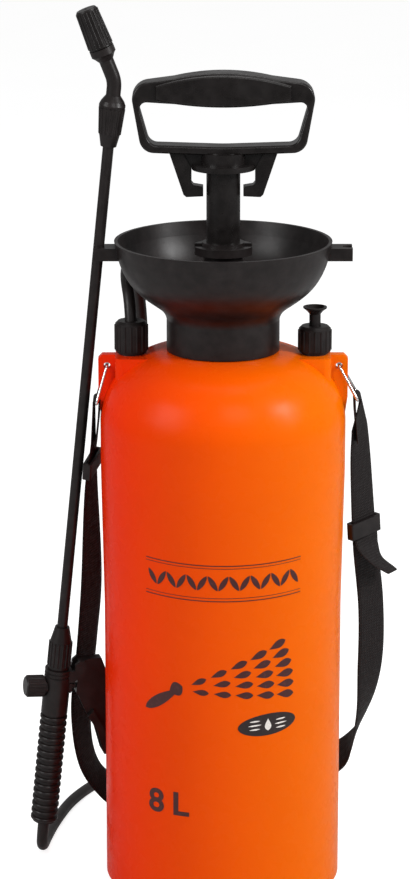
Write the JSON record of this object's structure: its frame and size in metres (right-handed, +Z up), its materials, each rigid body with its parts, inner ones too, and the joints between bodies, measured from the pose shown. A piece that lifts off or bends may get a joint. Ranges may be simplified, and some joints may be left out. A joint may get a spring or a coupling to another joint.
{
  "type": "pump sprayer",
  "caption": "Hand-pumped garden sprayer: round pressure tank with filling funnel, plunger pump with raised handle, relief valve, hose, clipped spray wand and shoulder strap.",
  "frame": {"origin": "centre of the tank's base, on the surface it stands on", "axes": "+Z up along the tank, -Y towards the front, +X towards the relief valve"},
  "size_m": [0.2822, 0.3592, 0.6863],
  "materials": {
    "tank_orange": "glossy blow-moulded polyethylene, faintly translucent",
    "black_plastic": "satin moulded polypropylene",
    "black_gloss": "smooth moulded polypropylene",
    "rubber_black": "soft matt rubber",
    "hose_black": "smooth flexible hose, satin",
    "webbing": "woven polypropylene webbing",
    "wire_chrome": "bright plated wire",
    "spring_steel": "drawn stainless steel",
    "inner_plastic": "natural moulded plastic",
    "clear_tube": "natural extruded tube"
  },
  "bodies": {
    "tank": {"dip_strainer": "inner_plastic", "dip_tube": "clear_tube", "elbow_seal": "rubber_black", "funnel": "black_plastic", "funnel_gasket": "rubber_black", "grip": "black_plastic", "hose": "hose_black", "lance_seal": "rubber_black", "lance_top_nut": "black_plastic", "lance_tube": "black_plastic", "nozzle_elbow": "black_plastic", "outlet_fitting": "black_plastic", "outlet_gasket": "rubber_black", "outlet_nut": "black_plastic", "plunger_seal": "rubber_black", "relief_body": "black_plastic", "relief_gasket": "rubber_black", "relief_nut": "black_plastic", "relief_spring": "spring_steel", "shoulder_strap": "webbing", "strap_ring_left": "wire_chrome", "strap_ring_right": "wire_chrome", "strap_slide_left": "black_plastic", "strap_slide_right": "black_plastic", "tank_body": "tank_orange", "trigger_pin": "black_plastic", "valve_body": "black_plastic", "valve_spring": "spring_steel", "valve_top_nut": "black_plastic"},
    "pump": {"pump_cap": "black_plastic", "rod_bush": "black_plastic", "barrel_gasket": "rubber_black", "pump_barrel": "inner_plastic", "check_valve": "rubber_black", "rod_seal": "rubber_black"},
    "piston": {"piston_head": "inner_plastic", "piston_cup": "rubber_black"},
    "handle_rod": {"pump_rod": "black_gloss", "handle": "black_gloss", "handle_pin": "spring_steel", "piston_screw": "spring_steel"},
    "relief_knob": {"relief_stem": "black_plastic", "relief_disc": "rubber_black"},
    "trigger": {"lever": "black_plastic"},
    "plunger": {"valve_plunger": "black_plastic"},
    "knob": {"lock_knob": "black_plastic"},
    "nozzle": {"nozzle_cap": "black_gloss"}
  },
  "joints": [
    {"name": "pump_lift", "type": "slide", "parent": "tank", "child": "pump", "axis": [0, 0, 1], "range_m": [0, 0.3]},
    {"name": "pump_slide", "type": "slide", "parent": "pump", "child": "piston", "axis": [0, 0, 1], "range_m": [-0.053, 0.13]},
    {"name": "handle_turn", "type": "hinge", "parent": "piston", "child": "handle_rod", "pos_m": [0, 0, 0.32], "axis": [0, 0, 1], "continuous": true},
    {"name": "relief_pull", "type": "slide", "parent": "tank", "child": "relief_knob", "axis": [0, 0, 1], "range_m": [0, 0.004], "stiffness_N_per_m": 800, "deforming": ["relief_spring"]},
    {"name": "trigger_squeeze", "type": "hinge", "parent": "tank", "child": "trigger", "pos_m": [-0.11147, 0.02586, 0.16864], "axis": [-0.2789, 0.9561, 0.0896], "range_deg": [0, 10], "stiffness_Nm_per_rad": 0.6},
    {"name": "plunger_slide", "type": "slide", "parent": "tank", "child": "plunger", "axis": [-0.9548, -0.2861, 0.0809], "range_m": [0, 0.0042]},
    {"name": "lock_knob_turn", "type": "hinge", "parent": "tank", "child": "knob", "pos_m": [-0.12966, 0.02219, 0.15115], "axis": [0.9548, 0.2861, -0.0809], "range_deg": [0, 90]},
    {"name": "nozzle_turn", "type": "hinge", "parent": "tank", "child": "nozzle", "pos_m": [-0.07992, -0.00825, 0.63062], "axis": [-0.3598, -0.0591, 0.9311], "range_deg": [-180, 180]}
  ],
  "couplings": [
    {"joint": "plunger_slide", "follows": "trigger_squeeze", "m_per_rad": 0.0212}
  ]
}
